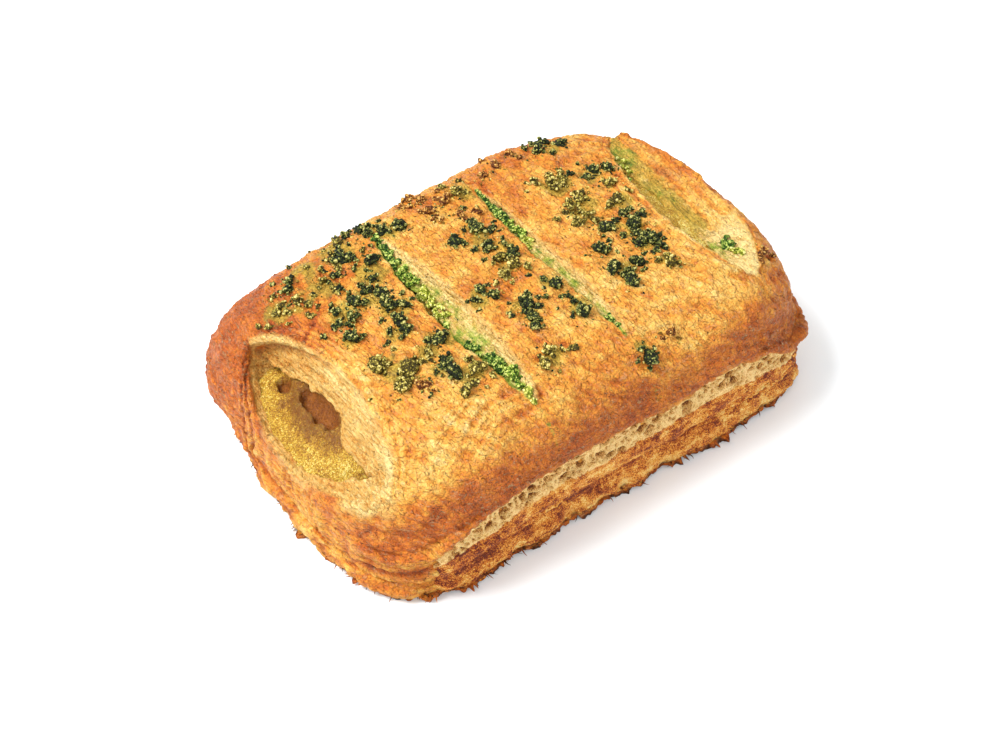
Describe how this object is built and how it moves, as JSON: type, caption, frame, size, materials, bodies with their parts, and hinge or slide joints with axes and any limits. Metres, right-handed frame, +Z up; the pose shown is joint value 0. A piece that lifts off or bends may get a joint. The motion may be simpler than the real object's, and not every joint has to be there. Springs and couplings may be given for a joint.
{
  "type": "danish pastry",
  "caption": "Rectangular filled danish pastry: a puffed, folded parcel of laminated dough with slits across its top, soft filling showing in them, and coarse crumbs.",
  "frame": {"origin": "middle of the flat underside, under the middle of the pastry's box", "axes": "+X along the parcel, across the slits; +Y from the cut long edge to the folded long side; +Z up"},
  "size_m": [0.1356, 0.0928, 0.0447],
  "materials": {
    "crust": "golden brown baked crust with a thin egg glaze, pale where the dough opened, red-brown on edges and corners",
    "filling": "moist, grainy olive-yellow filling"
  },
  "bodies": {
    "root": {"pastry": "crust", "filling": "filling"}
  },
  "joints": []
}
